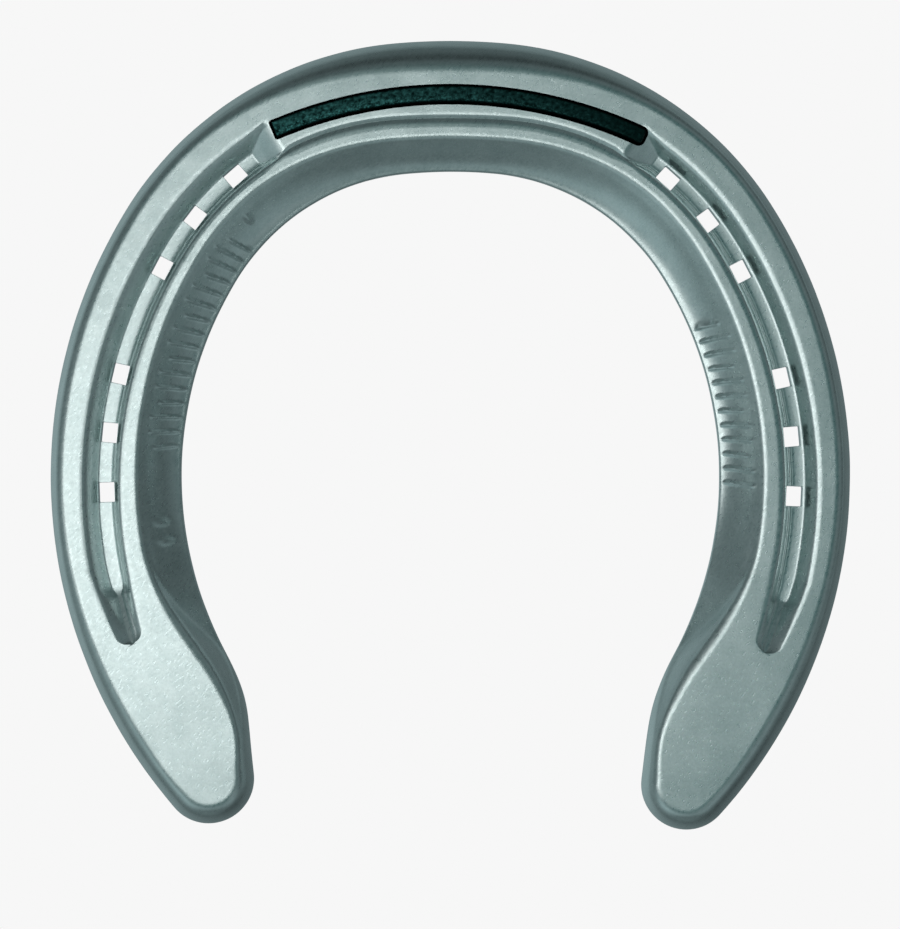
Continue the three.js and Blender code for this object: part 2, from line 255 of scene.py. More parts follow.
def heel_plan(heel_reach):
    """Centre of the heel's round tip, the curve of its inner edge, and the tip's end angles."""
    top_edge, top_in, top_angle = outer_edge(HEEL_START)
    end_edge, end_in, end_angle = outer_edge(heel_reach)
    centre = end_edge + end_in * HEEL_TIP_RADIUS
    across = Vector((-math.cos(HEEL_LEAN), math.sin(HEEL_LEAN)))
    along = Vector((math.sin(HEEL_LEAN), math.cos(HEEL_LEAN)))
    heading = Vector((math.cos(top_angle), -math.sin(top_angle)))
    top = top_edge + top_in * WEB
    foot = centre + across * HEEL_TIP_RADIUS
    curve = (top, top + heading * HEEL_HANDLES[0], foot + along * HEEL_HANDLES[1], foot)
    return centre, curve, math.pi / 2 - end_angle, -math.pi - HEEL_LEAN


def stations(side):
    """Places along one branch, toe to heel tip: reach, then point and inward direction of both edges."""
    centre, curve, tip_from, tip_to = heel_plan(side["heel_reach"])
    fine_reaches = list(FINE_REACHES)
    fine_reaches += [(low - 1, high + 1) for low, high in side["marks"]]
    fine_reaches += [(pip[0] - pip[3], pip[0] + pip[3]) for pip in side["pips"]]
    result = []
    reach = 0.0
    while reach < HEEL_START:
        edge, inward, _ = outer_edge(reach)
        result.append((reach, edge, inward, edge + inward * WEB, -inward))
        fine = any(low <= reach < high for low, high in fine_reaches)
        reach += FINE_STEP if fine else STATION_STEP
    count = round((side["heel_reach"] - HEEL_START) / STATION_STEP)
    for i in range(count + 1):
        t = i / count
        reach = mix(HEEL_START, side["heel_reach"], t)
        edge, _, _ = outer_edge(reach)
        inner = bezier(curve, t)
        spine = edge.lerp(inner, 0.5).lerp(centre, t * t)
        result.append((reach, edge, (spine - edge).normalized(), inner, (spine - inner).normalized()))
    apex = (tip_from + tip_to) / 2
    for i in range(1, TIP_STEPS + 1):
        t = i / TIP_STEPS
        out_a = Vector((math.cos(mix(tip_from, apex, t)), math.sin(mix(tip_from, apex, t))))
        out_b = Vector((math.cos(mix(tip_to, apex, t)), math.sin(mix(tip_to, apex, t))))
        reach = side["heel_reach"] + HEEL_TIP_RADIUS * (tip_from - apex) * t
        edge = centre + out_a * HEEL_TIP_RADIUS
        inner = centre + out_b * HEEL_TIP_RADIUS
        result.append((reach, edge, -out_a, inner, -out_b))
    return result


# ---- Section across the web ----

def roll_size(reach):
    """Width, drop and steepness of the outer edge's roll: broad at the toe, small on the branch."""
    toe = 1 - ease(reach, *TOE_ROLL_REACHES)
    heel = ease(reach, *HEEL_ROLL_REACHES)
    width = ROLL_WIDTHS[0] + ROLL_WIDTHS[1] * toe + ROLL_WIDTHS[2] * heel
    drop = ROLL_DROPS[0] + ROLL_DROPS[1] * toe + ROLL_DROPS[2] * heel
    return width, drop, ROLL_POWERS[0] + ROLL_POWERS[1] * toe


def edge_profile(reach):
    """Wall and roll from the foot of the outer edge up to the flat, as (inset, z)."""
    width, drop, power = roll_size(reach)
    wall_top = THICKNESS - drop
    points = []
    for i in range(WALL_POINTS):
        t = i / WALL_POINTS
        points.append((DRAFT * t ** WALL_BULGE, mix(EDGE_BREAK, wall_top, t)))
    count = EDGE_POINTS - WALL_POINTS - 1
    for i in range(count + 1):
        t = i / count
        points.append((DRAFT + width * t, wall_top + drop * (1 - (1 - t) ** power)))
    return points


def rim_inset(reach):
    """From the inner edge to the top of the slope, before the heel pad covers it."""
    return mix(*RIM_INSETS, ease(reach, *RIM_REACHES))


def pad_inset(reach):
    """From the inner edge to the top of the slope or, at the heel, of the pad's inner wall."""
    return mix(rim_inset(reach), PAD_INSET, ease(reach, *PAD_REACHES))


def inner_lip(reach):
    """Width and drop of the lip between the flat and the top of the slope or of the pad's wall."""
    pad = ease(reach, *PAD_LIP_REACHES)
    return mix(LIP_WIDTH, PAD_LIP_WIDTH, pad), mix(LIP_DROP, PAD_LIP_DROP, pad)


def relief_depth(reach):
    return RELIEF_DEPTH * (1 - ease(reach, *RELIEF_REACHES))


def inner_height(reach, inset):
    """Height of the inner side at an inset from the inner edge: dished slope, or the pad's wall."""
    edge_z = mix(INNER_EDGE_Z, PAD_FOOT_Z, ease(reach, *PAD_FOOT_REACHES))
    past_edge = max(inset - INNER_EDGE_DRAFT, 0) / (rim_inset(reach) - INNER_EDGE_DRAFT)
    power = mix(*SLOPE_POWERS, ease(reach, *SLOPE_REACHES))
    slope = edge_z + (THICKNESS - edge_z) * past_edge ** power
    pad = pad_inset(reach)
    wall = THICKNESS - (pad - inset) * (THICKNESS - PAD_FOOT_Z) / PAD_WALL_WIDTH
    raw = soft_max(slope, wall, SLOPE_BLEND)
    lip_width, lip_drop = inner_lip(reach)
    lip = share(pad + LIP_START + lip_width - inset, 0, lip_width)
    return soft_min(THICKNESS, raw, RIM_BLEND) - lip_drop * lip ** 2 * share(inset, 0, pad)


def stroke(u, v, start, end, half_width):
    """Height, 0 to 1, of a round-topped stroke from one point to another, at (u, v)."""
    run_u, run_v = end[0] - start[0], end[1] - start[1]
    t = share((u - start[0]) * run_u + (v - start[1]) * run_v, 0, run_u ** 2 + run_v ** 2)
    distance = math.hypot(u - start[0] - run_u * t, v - start[1] - run_v * t)
    return 1 - ease(distance, half_width * 0.1, half_width)


def mark_height(side, reach, inset):
    """Plain raised strokes across the slope of each branch, and plain pips on the left one."""
    result = 0
    for low, high in side["marks"]:
        if low - 2 < reach < high + 2:
            i = round((reach - low) / MARK_PITCH)
            middle = low + i * MARK_PITCH
            if middle < high + 0.1:
                top = MARK_TOP if i % 3 else MARK_TOP - SHORT_MARK
                foot = (middle - MARK_LEAN, MARK_FOOT)
                result = stroke(reach, inset, foot, (middle + MARK_LEAN, top), MARK_HALF_WIDTH)
    for at, foot, top, half_width in side["pips"]:
        result = max(result, stroke(reach, inset, (at, foot), (at, top), half_width))
    return result * MARK_HEIGHT


def inner_profile(reach):
    """Inner wall and slope from the foot of the inner edge up to the flat, as (inner inset, z)."""
    foot_z = relief_depth(reach) + EDGE_BREAK
    top_inset = pad_inset(reach) + LIP_START + inner_lip(reach)[0] + FLAT_MARGIN
    corner_inset = INNER_EDGE_DRAFT + INNER_CORNER
    wall_top = inner_height(reach, INNER_EDGE_DRAFT)
    corners = [
        (0, foot_z, 0, 1),
        (INNER_EDGE_DRAFT / 3, mix(foot_z, wall_top, 1 / 3), 0, 1),
        (INNER_EDGE_DRAFT * 2 / 3, mix(foot_z, wall_top, 2 / 3), 0, 1),
        (INNER_EDGE_DRAFT, wall_top, 0.45, 5),
        (corner_inset, inner_height(reach, corner_inset), 0, 1),
    ]
    points = rounded(corners)
    count = EDGE_POINTS - len(points)
    for i in range(1, count + 1):
        inset = mix(corner_inset, top_inset, 1 - (1 - i / count) ** 1.3)
        points.append((inset, inner_height(reach, inset)))
    return mix_points(points, edge_profile(reach), ease(reach, *HEEL_TIP_REACHES))


def crease_middle(t):
    start, taper, end = CREASE_MIDDLES
    along = mix(start, taper, share(t, CREASE_START, CREASE_TAPER))
    return mix(along, end, share(t, CREASE_TAPER, CREASE_END))


def crease_half(t):
    past = t - (CREASE_END - CREASE_TIP_RADIUS)
    if past > 0:
        return math.sqrt(max(CREASE_TIP_RADIUS ** 2 - past ** 2, 0.01))
    narrowing = share(t, CREASE_TAPER, CREASE_END - CREASE_TIP_RADIUS)
    return mix(CREASE_HALF_WIDTH, CREASE_TIP_RADIUS, narrowing)


def groove_corners(reach):
    """The shallow groove that runs on from the crease round the toe, as corners of the section."""
    middle = mix(*TOE_GROOVE_MIDDLES, ease(reach, 0, TOE_GROOVE_END))
    shoulder = THICKNESS - TOE_GROOVE_DEPTH * 0.16
    bottom = THICKNESS - TOE_GROOVE_DEPTH
    flats = [(middle - step, THICKNESS, 0) for step in (6.3, 5.7, 5, 4.2, 3.4, 2.6)]
    return flats + [
        (middle - 0.75, THICKNESS, 0.3),
        (middle - 0.35, shoulder, 0.2),
        (middle - 0.01, bottom, 0.02),
        (middle + 0.01, bottom, 0.02),
        (middle + 0.6, shoulder, 0.3),
        (middle + 1.3, THICKNESS, 0.6),
    ]


def crease_corners(side, reach):
    """The crease at one reach, as corners of the section: where it has run out they lie on the flat."""
    t = reach - side["crease_lead"]
    run_out = share(t, CREASE_END + CREASE_RUN_OUT, CREASE_FLOOR_END)
    depth_share = min(share(t, CREASE_START, CREASE_RAMP_END), run_out)
    middle, half = crease_middle(t), crease_half(t)
    if t > CREASE_END:
        depth_share = 0
        half = 0.1
    wall_share = min(depth_share, half / CREASE_HALF_WIDTH)
    outer_top = middle - half + CREASE_SHOULDER * wall_share
    floor_from = middle - half + (CREASE_OUTER_RUN + side["floor"][0]) * wall_share
    floor_to = middle + half + (side["floor"][1] - CREASE_INNER_RUN) * wall_share
    rim = middle + half + side["rim"] * wall_share
    floor_middle = (floor_from + floor_to) / 2
    before, past = CREASE_FLOOR_ROUND
    into_end = share(t, CREASE_FLOOR_END - before, CREASE_FLOOR_END + past)
    narrowing = 1 - math.sqrt(1 - into_end ** 2)
    floor_width = mix(floor_to - floor_from, min(CREASE_TIP_FLOOR, half * 0.4), narrowing)
    floor_from = floor_middle - floor_width / 2
    floor_to = floor_middle + floor_width / 2
    depth = CREASE_DEPTH * min(depth_share, half * 1.2)
    lip_z = THICKNESS - LIP_DROP * wall_share
    floor_z = THICKNESS - depth
    dip = 0.025 * wall_share * (1 - narrowing)
    inner_run = rim - floor_to
    return [
        (outer_top + (0.1 - LIP_WIDTH) * wall_share, THICKNESS, 0.5 * wall_share),
        (outer_top + 0.1 * wall_share, lip_z, 0.35 * wall_share),
        (mix(outer_top, floor_from, 0.5), THICKNESS - depth * 0.42, 0.9),
        (floor_from, floor_z, 0.3),
        (mix(floor_from, floor_to, 0.33), floor_z - dip, 0.2),
        (mix(floor_from, floor_to, 0.66), floor_z - dip, 0.2),
        (floor_to, floor_z, 0.12),
        (floor_to + 0.25 * inner_run, THICKNESS - depth * 0.6, 0.1),
        (floor_to + 0.48 * inner_run, THICKNESS - depth * 0.54, 0.1),
        (floor_to + 0.7 * inner_run, THICKNESS - depth * 0.3, 0.1),
        (rim, lip_z, 0.35 * wall_share),
        (rim + LIP_WIDTH * wall_share, THICKNESS, 0.5 * wall_share),
    ]


CORNER_POINTS = (5, 6, 4, 6, 2, 2, 4, 3, 3, 3, 5, 4)  # of the curve at each of these corners


def middle_profile(side, reach, start, end):
    """The flat with its crease, or at the toe its shallow groove, from inset start to inset end."""
    is_crease = ease(reach - side["crease_lead"], CREASE_START - 2, CREASE_START + 4)
    corners = []
    for a, b, count in zip(groove_corners(reach), crease_corners(side, reach), CORNER_POINTS):
        x, z, radius = (mix(p, q, is_crease) for p, q in zip(a, b))
        corners.append((x, z, radius, count))
    first, last = corners[0][0], corners[-1][0]
    before = [(mix(start, first, t), THICKNESS, 0, 1) for t in (0, 0.25, 0.5, 0.75)]
    after = [(mix(last, end, t), THICKNESS, 0, 1) for t in (0.33, 0.67, 1)]
    return rounded(before + corners + after)[1:-1]


def hoof_side(reach):
    """The hoof face from the inner foot to the outer one, as (from the inner edge, inset, z)."""
    depth = relief_depth(reach)
    width = mix(RELIEF_LEAST_WIDTH, RELIEF_WIDTH, depth / RELIEF_DEPTH)
    inner = rounded([
        (0, depth + EDGE_BREAK, 0, 1),
        (0.08, depth + 0.08, 0, 1),
        (EDGE_BREAK, depth, 0, 1),
        (width * 0.5, depth * 0.45, 0, 1),
        (width, 0, 1.5, 4),
        (width + 1.5, 0, 0, 1),
    ])
    outer = [(1.2, 0), (EDGE_BREAK, 0), (0.08, 0.08)]
    return inner[1:], outer


def section(side, reach, edge, inward, inner, inner_in):
    """All points of one section as plan points and heights, once round from the outer foot."""
    ring = []
    outer_side = edge_profile(reach)
    inner_side = inner_profile(reach)
    for inset, z in outer_side:
        ring.append((edge + inward * inset, z))
    start = outer_side[-1][0]
    end = WEB - inner_side[-1][0]
    first = ring[-1][0]
    last = inner + inner_in * inner_side[-1][0]
    for inset, z in middle_profile(side, reach, start, end):
        ring.append((first.lerp(last, (inset - start) / (end - start)), z))
    for inset, z in reversed(inner_side):
        ring.append((inner + inner_in * inset, z + mark_height(side, reach, inset)))
    under_inner, under_outer = hoof_side(reach)
    for inset, z in under_inner:
        ring.append((inner + inner_in * inset, z))
    for inset, z in under_outer:
        ring.append((edge + inward * inset, z))
    return ring


# ---- Mesh making ----

def new_piece(name, mesh_bm):
    """An object holding a bmesh, still in millimetres."""
    mesh = bpy.data.meshes.new(name)
    mesh_bm.to_mesh(mesh)
    mesh_bm.free()
    piece = bpy.data.objects.new(name, mesh)
    bpy.context.scene.collection.objects.link(piece)
    return piece


def finish_piece(piece, node, sharp_degrees):
    """Bring a piece to metres, shade it and hand it to the frame in place of its CAD node."""
    mesh = piece.data
    mesh.transform(Matrix.Scale(MM, 4))
    mesh.polygons.foreach_set("use_smooth", [True] * len(mesh.polygons))
    mesh.set_sharp_from_angle(angle=math.radians(sharp_degrees))
    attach(piece, "root")
    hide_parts(node)


def skin(rings, ends="face"):
    """A bmesh through rings of equally many points. Its ends are open, or each one face, or a strip
    of faces between the first half of the ring and the second."""
    bm = bmesh.new()
    rows = [[bm.verts.new(point) for point in ring] for ring in rings]
    count = len(rows[0])
    for row, after in zip(rows, rows[1:]):
        for i in range(count):
            j = (i + 1) % count
            bm.faces.new((row[i], row[j], after[j], after[i]))
    for row in (rows[0], rows[-1]):
        if ends == "face":
            bm.faces.new(row)
        elif ends == "strip":
            for i in range(count // 2 - 1):
                bm.faces.new((row[i], row[i + 1], row[count - 2 - i], row[count - 1 - i]))
    bmesh.ops.recalc_face_normals(bm, faces=bm.faces)
    bmesh.ops.triangulate(bm, faces=bm.faces)
    return bm


def shoe_rings():
    rings = []
    for side in (RIGHT, LEFT):
        places = stations(side)
        if side is LEFT:
            places = places[1:]
        made = []
        for place in places:
            ring = section(side, *place)
            made.append([(side["sign"] * p.x, p.y, z) for p, z in ring])
        rings = made[::-1] + rings if side is LEFT else made
    return rings


def uneven(bm):
    """The slight unevenness of a forging: long soft waves and a finer ripple, along the normals."""
    bm.normal_update()
    moves = []
    for vert in bm.verts:
        p = vert.co
        wave = noise.noise(p * LONG_WAVES[0]) * LONG_WAVES[1]
        ripple = noise.noise(p * RIPPLE[0] + Vector((7, 3, 1))) * RIPPLE[1]
        moves.append(vert.normal * (wave + ripple))
    for vert, move in zip(bm.verts, moves):
        vert.co += move


def cut(piece, tool):
    modifier = piece.modifiers.new("cut", "BOOLEAN")
    modifier.operation = "DIFFERENCE"
    modifier.solver = "EXACT"
    modifier.material_mode = "TRANSFER"
    modifier.object = tool
    bpy.context.view_layer.objects.active = piece
    bpy.ops.object.modifier_apply(modifier=modifier.name)
    bpy.data.objects.remove(tool)


def drop_flaps(piece):
    """Take out what a cut can leave: two faces back to back on the same vertices."""
    bm = bmesh.new()
    bm.from_mesh(piece.data)
    by_corners = {}
    for face in bm.faces:
        by_corners.setdefault(frozenset(vert.index for vert in face.verts), []).append(face)
    flaps = [face for faces in by_corners.values() if len(faces) > 1 for face in faces]
    bmesh.ops.delete(bm, geom=flaps, context="FACES")
    bm.to_mesh(piece.data)
    bm.free()


def nail_punch(side, t):
    """Rings of one nail punch: a straight shank, and a head that opens up the crease's outer wall."""
    edge, inward, _ = outer_edge(t + side["nail_lead"])
    along = Vector((-inward.y, inward.x))
    low = crease_middle(t) - CREASE_HALF_WIDTH + CREASE_OUTER_RUN + NAIL_FROM_FLOOR_EDGE
    high = low + NAIL_WIDTH
    corner = NAIL_CORNER
    levels = (  # height, inset of the outer face, and how much longer than the shank
        (-OVERSHOOT, low - NAIL_DRAFT, 0.0),
        (NAIL_EXIT, low, 0.0),
        (NAIL_HEAD_BOTTOM, low, 0.0),
        (THICKNESS - CREASE_DEPTH, low - NAIL_DRAFT, 0.06),
        (THICKNESS, low - NAIL_FLARE, 0.1),
        (THICKNESS + OVERSHOOT, low - NAIL_FLARE, 0.1),
    )
    rings = []
    for z, start, spread in levels:
        half = NAIL_LENGTH / 2 + spread
        plan = [
            (start + corner, -half), (high - corner, -half), (high, corner - half), (high, half - corner),
            (high - corner, half), (start + corner, half), (start, half - corner), (start, corner - half),
        ]
        ring = []
        for inset, run in plan:
            p = edge + inward * inset + along * run
            ring.append((side["sign"] * p.x, p.y, z))
        rings.append(ring)
    return rings


def bar_outline(outer_grow, inner_grow, left_round, right_round):
    """Plan of the wear bar's arc, grown outwards and inwards, each end with its own corner radius."""
    outer_radius = BAR_RADIUS + BAR_WIDTH / 2 + outer_grow
    inner_radius = BAR_RADIUS - BAR_WIDTH / 2 - inner_grow
    grow = (outer_grow + inner_grow) / 2
    swing = BAR_HALF_ANGLE + grow / BAR_RADIUS
    far, near = [], []
    for i in range(ARC_STEPS + 1):
        angle = -swing * math.cos(math.pi * i / ARC_STEPS)
        corner = max((right_round if angle > 0 else left_round) + grow, 0.02)
        run = min(BAR_RADIUS * (swing - abs(angle)), corner)
        cut_back = corner - math.sqrt(max(corner ** 2 - (corner - run) ** 2, 0))
        far.append((angle, outer_radius - cut_back))
        near.append((angle, inner_radius + cut_back))
    plan = []
    for angle, radius in far + near[::-1]:
        angle += BAR_TURN
        plan.append((radius * math.sin(angle), BAR_CENTRE_Y + radius * math.cos(angle)))
    return plan


def join_parts(name, parts, material=None):
    """One object made of several closed bmeshes, which are freed."""
    joined = bmesh.new()
    for part in parts:
        mesh = bpy.data.meshes.new("part")
        part.to_mesh(mesh)
        part.free()
        joined.from_mesh(mesh)
        bpy.data.meshes.remove(mesh)
    piece = new_piece(name, joined)
    if material:
        piece.data.materials.append(material)
    return piece


def make_punches():
    punches = [skin(nail_punch(side, t)) for side in (RIGHT, LEFT) for t in NAIL_REACHES]
    return join_parts("punches", punches)


def make_pocket():
    """The pocket milled in the toe for the wear bar, its walls painted near-black as painted shade for the
    deep, narrow gap.
    """
    pocket = bar_outline(POCKET_GAP, POCKET_INNER_GAP, *POCKET_ENDS)
    levels = (BAR_BOTTOM - POCKET_GAP, THICKNESS + OVERSHOOT)
    rings = [[(x, y, z) for x, y in pocket] for z in levels]
    return join_parts("pocket", [skin(rings, ends="strip")], pocket_shade_material())


def make_shoe():
    bm = skin(shoe_rings(), ends="open")
    bmesh.ops.remove_doubles(bm, verts=bm.verts, dist=MERGE_DISTANCE)
    slits = bmesh.ops.holes_fill(bm, edges=[edge for edge in bm.edges if edge.is_boundary])
    bmesh.ops.triangulate(bm, faces=slits["faces"])
    bmesh.ops.recalc_face_normals(bm, faces=bm.faces)
    uneven(bm)
    shoe = new_piece("forged_shoe", bm)
    shoe.data.materials.append(aluminium_material())
    cut(shoe, make_punches())
    cut(shoe, make_pocket())
    drop_flaps(shoe)
    finish_piece(shoe, "shoe_body", SHOE_SHARP)


def make_bar():
    """The wear bar: rolled steel, its inner top edge worn rounder than its outer one, its top uneven."""
    levels = (  # height below the top, then how far the outer and inner edges stand back
        (BAR_TOP - BAR_BOTTOM, 0.25, 0.25), (BAR_TOP - BAR_BOTTOM - 0.25, 0, 0), (2.2, 0, 0), (0.8, 0, 0.03),
        (0.45, 0, 0.08), (0.25, 0.02, 0.14), (0.12, 0.05, 0.2), (0.05, 0.1, 0.27), (0.01, 0.17, 0.36),
        (0, 0.3, 0.5), (0, 0.5, 0.7), (0, 0.7, 0.9), (0, 0.95, 1.1),
    )
    rings = []
    for drop, outer, inner in levels:
        rings.append([(x, y, BAR_TOP - drop) for x, y in bar_outline(-outer, -inner, *BAR_ENDS)])
    bm = skin(rings, ends="strip")
    bm.normal_update()
    moves = []
    for vert in bm.verts:
        p = vert.co
        pits = noise.noise(p * PITS[0]) * PITS[1] + noise.noise(p * FINE_PITS[0]) * FINE_PITS[1]
        moves.append(vert.normal * ((pits - BAR_WEAR) * share(p.z, BAR_TOP - 1, BAR_TOP - 0.3)))
    for vert, move in zip(bm.verts, moves):
        vert.co += move
    bar = new_piece("wear_bar", bm)
    bar.data.materials.append(steel_material())
    finish_piece(bar, "toe_wear_bar", BAR_SHARP)


# ---- Materials ----

def maths_node(tree, operation, a, b):
    """The result of a maths node on two values, each a number or a socket."""
    node = tree.nodes.new("ShaderNodeMath")
    node.operation = operation
    for value, socket in zip((a, b), node.inputs):
        if isinstance(value, (int, float)):
            socket.default_value = value
        else:
            tree.links.new(value, socket)
    return node.outputs["Value"]


class Shader:
    """A material's node tree with short ways to add and link nodes."""

    def __init__(self, name):
        self.material = bpy.data.materials.new(name)
        self.material.use_nodes = True
        self.tree = self.material.node_tree
        self.surface = self.tree.nodes["Principled BSDF"]
        self.place = self.tree.nodes.new("ShaderNodeTexCoord").outputs["Object"]

    def set(self, **values):
        for name, value in values.items():
            self.surface.inputs[name.replace("_", " ")].default_value = value

    def link(self, source, target):
        self.tree.links.new(source, target)

    def stretched(self, per_mm, turn=0.0):
        """Object coordinates in millimetres, turned about z, then scaled along each axis."""
        turned = self.tree.nodes.new("ShaderNodeVectorRotate")
        turned.rotation_type = "Z_AXIS"
        turned.inputs["Angle"].default_value = turn
        self.link(self.place, turned.inputs["Vector"])
        scaled = self.tree.nodes.new("ShaderNodeVectorMath")
        scaled.operation = "MULTIPLY"
        self.link(turned.outputs["Vector"], scaled.inputs[0])
        scaled.inputs[1].default_value = [value / MM for value in per_mm]
        return scaled.outputs["Vector"]

    def noise(self, per_mm, detail=2.0, turn=0.0):
        """Soft noise, with so many waves to the millimetre along each axis."""
        node = self.tree.nodes.new("ShaderNodeTexNoise")
        self.link(self.stretched(per_mm, turn), node.inputs["Vector"])
        node.inputs["Scale"].default_value = 1.0
        node.inputs["Detail"].default_value = detail
        return node.outputs["Fac"]

    def spread(self, source, low, high, to_low, to_high):
        """Carry a value from one range into another, stopping at its ends."""
        node = self.tree.nodes.new("ShaderNodeMapRange")
        self.link(source, node.inputs["Value"])
        for name, value in zip(("From Min", "From Max", "To Min", "To Max"), (low, high, to_low, to_high)):
            node.inputs[name].default_value = value
        return node.outputs["Result"]

    def maths(self, operation, a, b):
        return maths_node(self.tree, operation, a, b)

    def blend(self, factor, a, b):
        """A colour between two given ones."""
        node = self.tree.nodes.new("ShaderNodeMix")
        node.data_type = "RGBA"
        self.link(factor, node.inputs["Factor"])
        node.inputs["A"].default_value = (*a, 1)
        node.inputs["B"].default_value = (*b, 1)
        return node.outputs["Result"]

    def colour(self, factor, a, b):
        """Give the surface a colour between two given ones."""
        self.link(self.blend(factor, a, b), self.surface.inputs["Base Color"])

    def bump(self, height, depth_mm):
        node = self.tree.nodes.new("ShaderNodeBump")
        self.link(height, node.inputs["Height"])
        node.inputs["Distance"].default_value = depth_mm * MM
        node.inputs["Filter Width"].default_value = 1.0
        self.link(node.outputs["Normal"], self.surface.inputs["Normal"])


def aluminium_material():
    """Forged, tumbled aluminium: satin, with a fine slanting grain, faint lighter specks painted as glints,
    and soft clouds.
    """
    shader = Shader("satin_aluminium")
    shader.set(Metallic=1.0)
    grain = shader.noise((2.8, 2.8, 2.8), 2.0)
    streaks = shader.noise((3.2, 1.2, 2.0), 1.0, math.radians(38))
    # painted glints: sparse specks that lift the base colour a little, in place of tiny mirror glints
    painted_glints = shader.spread(shader.noise((2.4, 1.2, 2.2), 1.0, math.radians(30)), 0.62, 0.74, 0.0, 1.0)
    clouds = shader.noise((0.35, 0.35, 0.35), 3.0)
    half_grain = shader.maths("MULTIPLY", grain, 0.5)
    fine = shader.maths("ADD", half_grain, shader.maths("MULTIPLY", streaks, 0.5))
    clouded = shader.spread(clouds, 0.3, 0.7, 0.0, 0.35)
    tone = shader.maths("ADD", clouded, shader.spread(fine, 0.32, 0.68, 0.0, 0.5))
    # the painted glint specks lighten the base colour here
    tone = shader.maths("ADD", tone, shader.maths("MULTIPLY", painted_glints, 0.04))
    shader.colour(tone, (0.66, 0.76, 0.75), (0.92, 1.0, 0.985))
    shader.link(shader.spread(streaks, 0.3, 0.7, 0.27, 0.34), shader.surface.inputs["Roughness"])
    shader.bump(shader.maths("ADD", half_grain, streaks), 0.006)
    return shader.material


def pocket_shade_material():
    """Painted shade: near-black on the pocket's walls, standing in for the shade in the narrow joint round
    the bar.
    """
    shader = Shader("pocket_painted_shade")
    shader.set(Metallic=0.0, Roughness=0.95, Specular_IOR_Level=0.05)
    speck = shader.noise((2.0, 2.0, 2.0), 2.0)
    # painted shade: this near-black colour stands in for the shade deep in the gap
    shader.colour(speck, (0.0, 0.0, 0.0), (0.004, 0.006, 0.006))
    return shader.material


def steel_material():
    """Scaled steel with a blue-green cast: mottled, darker to the right, rubbed along its inner edge."""
    shader = Shader("dark_steel")
    shader.set(Metallic=1.0)
    split = shader.tree.nodes.new("ShaderNodeSeparateXYZ")
    shader.link(shader.place, split.inputs["Vector"])
    x, y = split.outputs["X"], split.outputs["Y"]
    from_centre = shader.maths("SUBTRACT", y, BAR_CENTRE_Y * MM)
    x_squared = shader.maths("MULTIPLY", x, x)
    squares = shader.maths("ADD", x_squared, shader.maths("MULTIPLY", from_centre, from_centre))
    radius = shader.maths("SQRT", squares, 0)
    half = BAR_WIDTH / 2 * MM
    middle = BAR_RADIUS * MM
    inner = shader.spread(radius, middle - half, middle + half * 0.2, 1.0, 0.0)
    mottle = shader.spread(shader.noise((1.5, 1.5, 1.5), 4.0), 0.36, 0.68, 0.0, 1.0)
    specks = shader.spread(shader.noise((3.4, 3.4, 3.4), 2.0), 0.5, 0.68, 0.0, 1.0)
    rubbed = shader.maths("MULTIPLY", specks, shader.maths("ADD", inner, 0.25))
    mottled = shader.maths("MULTIPLY", mottle, 0.42)
    worn = shader.maths("ADD", mottled, shader.maths("MULTIPLY", rubbed, 0.95))
    span = BAR_RADIUS * math.sin(BAR_HALF_ANGLE) * MM
    across = shader.spread(x, -span, span, 1.0, 0.04)
    tone = shader.maths("MULTIPLY", worn, across)
    shader.colour(tone, (0.004, 0.02, 0.018), (0.16, 0.55, 0.52))
    shader.link(shader.spread(mottle, 0, 1, 0.6, 0.42), shader.surface.inputs["Roughness"])
    shader.bump(shader.maths("ADD", mottle, specks), 0.025)
    return shader.material


# ---- Stage ----

FLOOR_TONE = 0.93  # linear, the pale grey-white of the background

SENSOR_WIDTH = 36
CAMERA_DISTANCE = 5.0
VIEW_WIDTH = 137.25 * MM
VIEW_CENTRE = (-0.06, -4.45)


def make_camera():
    camera_data = bpy.data.cameras.new("camera")
    camera = bpy.data.objects.new("camera", camera_data)
    bpy.context.scene.collection.objects.link(camera)
    bpy.context.scene.camera = camera
    camera_data.sensor_fit = "HORIZONTAL"
    camera_data.sensor_width = SENSOR_WIDTH
    camera_data.lens = SENSOR_WIDTH * (CAMERA_DISTANCE - THICKNESS / 2 * MM) / VIEW_WIDTH
    camera_data.clip_start = 0.1
    camera_data.clip_end = 20
    camera.location = (VIEW_CENTRE[0] * MM, VIEW_CENTRE[1] * MM, CAMERA_DISTANCE)


def floor_material():
    """A lit white sweep, even all over."""
    shader = Shader("floor_white")
    shader.set(Base_Color=(0, 0, 0, 1), Roughness=1.0, Specular_IOR_Level=0.0)
    shader.set(Emission_Color=(1, 1, 1, 1), Emission_Strength=FLOOR_TONE)
    return shader.material


def make_stage():
    bpy.ops.mesh.primitive_circle_add(vertices=96, radius=4.5, fill_type="NGON")
    floor = bpy.context.object
    floor.name = "floor"
    floor.data.materials.append(floor_material())
    floor.visible_glossy = False
    floor.visible_diffuse = False


def area_light(name, place, target, size, power):
    data = bpy.data.lights.new(name, "AREA")
    data.shape = "RECTANGLE"
    data.size, data.size_y = size
    data.energy = power
    light = bpy.data.objects.new(name, data)
    bpy.context.scene.collection.objects.link(light)
    light.location = place
    light.rotation_euler = (Vector(target) - Vector(place)).to_track_quat("-Z", "Y").to_euler()
    light.visible_camera = False


# Soft boxes above the shoe, aimed inwards and down: name, x, y and length in metres, power in watts.
BOX_HEIGHT = 0.36
BOX_WIDTH = 0.09
BOX_AIM = 0.3  # each is aimed at the point this share of its x and y from the origin
SOFT_BOXES = (
    ("key_near", -0.08, -0.016, 0.22, 0.105),
    ("key_far", -0.15, -0.06, 0.14, 0.012),
    ("key_top", -0.05, 0.16, 0.14, 0.006),
    ("fill_left", -0.30, -0.06, 0.14, 0.026),
    ("fill_right", 0.15, -0.17, 0.14, 0.006),
)

